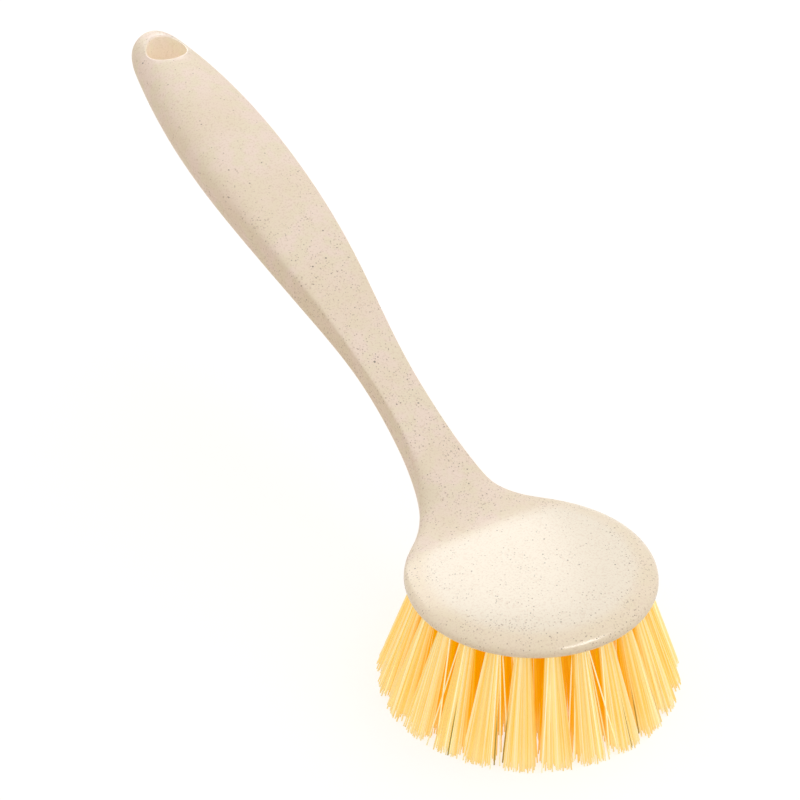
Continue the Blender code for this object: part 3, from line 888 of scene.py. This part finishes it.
def speckled_plastic():
    """Fibre-filled cream plastic, with faint blotches, straw flecks and specks of three kinds, and
    painted light: a lighter, warmer head, a whiter painted sheen on its top and a glowing hang hole.
    """
    material, n, shader = new_material("speckled_cream_plastic")
    place = n.add("ShaderNodeTexCoord").outputs["Object"]
    specks = speck_group()

    def with_specks(base, vector, kind, crowding=1.0):
        """The colour with one kind of speck scattered over it."""
        spacing, radius, share, strength, colour = kind
        share = n.product(crowding, share)
        inputs = {"Vector": vector, "Spacing": spacing, "Radius": radius, "Share": share}
        mask = n.add("ShaderNodeGroup", inputs, node_tree=specks).outputs["Mask"]
        return n.mixed(n.product(mask, strength), base, colour)

    # Masks of the places where the moulding changes, and of the head's flat top, where a sheen is
    # painted
    reach = n.add("ShaderNodeSeparateXYZ", {0: place}).outputs["Y"]
    flat_place = n.vector("MULTIPLY", place, (1.0, 1.0, 0.0))
    from_axis = n.vector_length(flat_place)
    from_hole = n.vector_length(n.vector("SUBTRACT", flat_place, (0.0, HANG_REACH, 0.0)))
    lip_start = HANG_HOLE_RADIUS + LIP_ROUNDING
    on_head = n.mapped(reach, *POLISH_AND_PAINTED_LIGHT_EDGE)
    painted_sheen_area = n.product(on_head, n.mapped(from_axis, *PAINTED_SHEEN_EDGE))
    in_hole = n.mapped(from_hole, lip_start, HANG_HOLE_RADIUS)
    on_lip = n.mapped(from_hole, HANG_HOLE_RADIUS + POLISHED_LIP_WIDTH, lip_start)

    # The colour, from the broad patches to the specks, with painted light and sheen on the head
    blotches = n.mapped(n.noise(place, BLOTCH_SIZE), *BLOTCH_EDGE)
    base = n.mixed(blotches, *BLOTCH_COLOURS)
    clouds = n.mapped(n.noise(place, CLOUD_SIZE, 1.0), *CLOUD_EDGE)
    base = n.mixed(n.product(clouds, CLOUD_STRENGTH), base, CLOUD_COLOUR)
    # Painted light and shade: the head lighter than the neck's ramp, which stays in painted shade, and
    # warmer at its shaded rim band
    base = n.mixed(n.product(on_head, HEAD_PAINTED_LIGHT_STRENGTH), base, HEAD_PAINTED_LIGHT_COLOUR)
    # Painted sheen: the head's flat top turns whiter
    base = n.mixed(n.product(painted_sheen_area, PAINTED_SHEEN_STRENGTH), base, PAINTED_SHEEN_COLOUR)
    grain = n.noise(place, GRAIN_SIZE)
    base = n.mixed(n.mapped(grain, *GRAIN_EDGE, 0.0, GRAIN_STRENGTH), base, GRAIN_COLOUR)
    tilted = {"Vector": place, "Rotation": FLECK_TURN, "Scale": FLECK_STRETCH}
    stretched = n.add("ShaderNodeMapping", tilted).outputs[0]
    base = with_specks(base, stretched, STRAW_FLECKS)
    along_handle = n.mapped(reach, SHOULDER_REACH, BELLY_REACH, 1.0, GRIP_CROWDING)
    across_head = n.mapped(from_axis, *RIM_SPECKS_EDGE, HEAD_CROWDING, 1.0)
    clusters = n.mapped(n.noise(place, CLUSTER_SIZE, 3.0), *CLUSTER_EDGE, *CLUSTER_CROWDING)
    crowding = n.product(along_handle, across_head, clusters)
    for kind in CROWDED_SPECKS:
        base = with_specks(base, place, kind, crowding)
    base = with_specks(base, place, LONE_SPECKS)
    n.put(shader.inputs["Base Color"], base)
    # Painted light: the wall of the hang hole glows faintly
    n.put(shader.inputs["Emission Color"], n.mixed(in_hole, BLACK, HOLE_GLOW_COLOUR))
    n.put(shader.inputs["Emission Strength"], HOLE_GLOW)

    # The finish: the head and the hang hole's lip are polished, and the handle is matte
    polished = n.math("MAXIMUM", on_head, on_lip)
    matte = n.math("SUBTRACT", 1.0, polished)
    roughness = n.mapped(grain, *SHEEN_EDGE, *POLISHED_ROUGHNESS)
    n.put(shader.inputs["Roughness"], n.total(roughness, n.product(matte, MATTE_ROUGHNESS)))
    height = n.total(n.product(grain, GRAIN_RELIEF), n.noise(place, RIPPLE_SIZE))
    relief = {"Strength": BUMP_STRENGTH, "Distance": BUMP_HEIGHT, "Height": height}
    n.put(shader.inputs["Normal"], n.add("ShaderNodeBump", relief).outputs[0])
    n.put(shader.inputs["Coat Weight"], n.product(polished, COAT_WEIGHT))
    n.put(shader.inputs["Coat Roughness"], COAT_ROUGHNESS)
    return material


def bristle_nylon():
    """Yellow filament: pale in front of a tuft, orange in painted shade at its back, some stray or
    shaded; all glow faintly as painted light.
    """
    material, n, shader = new_material("pale_yellow_filament")

    def attribute(name):
        return n.add("ShaderNodeAttribute", attribute_name=name).outputs["Fac"]

    tone = attribute("tone")
    along = attribute("along")
    # Painted shade: filaments deep in the brush and at a tuft's back turn orange, less so towards the
    # tips
    depth = n.product(attribute("depth"), n.mapped(along, *BACK_SHADE_FADE))
    base = n.mixed(depth, n.mixed(tone, *PALE_FILAMENTS), n.mixed(tone, *BACK_SHADE_FILAMENTS))
    base = n.mixed(n.mapped(along, *TIP_FADE), base, TIP_COLOUR)
    base = n.mixed(attribute("stray"), base, STRAY_COLOUR)
    shade = n.product(attribute("shade"), n.mapped(along, *SHADE_RISE))
    base = n.mixed(shade, base, SHADED_COLOUR)
    n.put(shader.inputs["Base Color"], base)
    n.put(shader.inputs["Roughness"], FILAMENT_ROUGHNESS)
    n.put(shader.inputs["Specular IOR Level"], FILAMENT_SPECULAR)
    # Painted light: each filament glows faintly in its own colour
    n.put(shader.inputs["Emission Color"], base)
    n.put(shader.inputs["Emission Strength"], FILAMENT_GLOW)
    return material


# Stage, lights and camera


def make_stage():
    """A white floor that keeps the brush's soft shadow."""
    mesh = bpy.data.meshes.new("floor")
    shape = bmesh.new()
    bmesh.ops.create_circle(shape, cap_ends=True, segments=FLOOR_SIDES, radius=FLOOR_RADIUS)
    shape.to_mesh(mesh)
    shape.free()
    floor = new_object("floor", mesh)
    material, n, shader = new_material("pale_floor")
    seen = seen_ray(n)
    n.put(shader.inputs["Base Color"], n.mixed(seen, FLOOR_LIGHT, FLOOR_SEEN))
    n.put(shader.inputs["Roughness"], 0.9)
    n.put(shader.inputs["Specular IOR Level"], 0.0)
    n.put(shader.inputs["Emission Color"], WHITE)
    n.put(shader.inputs["Emission Strength"], n.product(seen, FLOOR_GLOW))
    mesh.materials.append(material)
    floor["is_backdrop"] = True


def seen_ray(n):
    """One for rays that show the surroundings: the camera's, in gloss or through a clear piece."""
    path = n.add("ShaderNodeLightPath").outputs
    seen = n.math("MAXIMUM", path["Is Camera Ray"], path["Is Glossy Ray"])
    return n.math("MAXIMUM", seen, path["Is Transmission Ray"])


def make_world():
    """A white room, softer and a little warmer as a light than it looks."""
    world = bpy.data.worlds.new("studio")
    bpy.context.scene.world = world
    world.use_nodes = True
    n = Nodes(world.node_tree)
    background = world.node_tree.nodes["Background"]
    n.put(background.inputs["Color"], n.mixed(seen_ray(n), ROOM_LIGHT, WHITE))
    n.put(background.inputs["Strength"], 1.0)


def add_soft_box(name, azimuth, elevation, distance, width, height, power):
    """A soft box that faces the middle of the brush, from a direction given in degrees."""
    target = Vector((0.0, HANG_REACH / 2.0, UNDERSIDE_HEIGHT))
    a, e = math.radians(azimuth), math.radians(elevation)
    away = Vector((math.sin(a) * math.cos(e), -math.cos(a) * math.cos(e), math.sin(e)))
    lamp = bpy.data.lights.new(name, "AREA")
    lamp.energy = power
    lamp.shape = "RECTANGLE"
    lamp.size = width
    lamp.size_y = height
    item = new_object(name, lamp)
    item.location = target + away * distance
    item.rotation_euler = away.to_track_quat("Z", "Y").to_euler()
    return item


def make_lamps():
    """A broad light from the right, and two that only gloss shows: behind the head and in front."""
    key = add_soft_box("key", 100.0, 60.0, distance=2.0, width=2.0, height=2.0, power=10.5)
    back = add_soft_box("back", 165.0, 30.0, distance=1.6, width=1.2, height=1.4, power=9.2)
    strip = add_soft_box("strip", 30.0, 58.0, distance=1.2, width=0.5, height=0.2, power=2.6)
    key.visible_glossy = False
    back.visible_diffuse = False
    strip.visible_diffuse = False


def make_camera():
    """The photograph's camera: a long lens, with the head's centre at its pixel of the frame."""
    a, e = math.radians(CAMERA_AZIMUTH), math.radians(CAMERA_ELEVATION)
    right = Vector((math.cos(a), math.sin(a), 0.0))
    back = Vector((math.sin(a) * math.cos(e), -math.cos(a) * math.cos(e), math.sin(e)))
    up = back.cross(right)
    offset_right = (HEAD_PIXEL[0] - IMAGE_SIZE / 2.0) / PIXELS_PER_METRE
    offset_up = (IMAGE_SIZE / 2.0 - HEAD_PIXEL[1]) / PIXELS_PER_METRE
    head = Vector((0.0, 0.0, UNDERSIDE_HEIGHT))
    data = bpy.data.cameras.new("camera")
    data.sensor_width = SENSOR_WIDTH_MM
    data.lens = SENSOR_WIDTH_MM * PIXELS_PER_METRE * CAMERA_DISTANCE / IMAGE_SIZE
    data.clip_end = CAMERA_CLIP_END
    camera = new_object("camera", data)
    eye = head - right * offset_right - up * offset_up + back * CAMERA_DISTANCE
    turn = Matrix((right, up, back)).transposed().to_4x4()
    camera.matrix_world = Matrix.Translation(eye) @ turn
    bpy.context.scene.camera = camera


def tuft_nodes(ring):
    """Names of the solids of one ring's tufts."""
    return sorted(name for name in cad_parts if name.startswith("tuft_" + ring))


def build():
    moulding = make_moulding(speckled_plastic())
    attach(moulding, "root")
    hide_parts("handle_body")
    nylon = bristle_nylon()
    for piece, (ring, _, _, _) in zip(make_bristles(bristle_tree(), nylon), RINGS):
        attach(piece, "root")
        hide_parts(*tuft_nodes(ring))
    make_stage()
    make_world()
    make_lamps()
    make_camera()
    bpy.context.scene.view_settings.view_transform = "Standard"


build()
boxes = (("cad", CAD_BOX), ("visual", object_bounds()))
sizes = {name: [list(corner) for corner in box] for name, box in boxes}
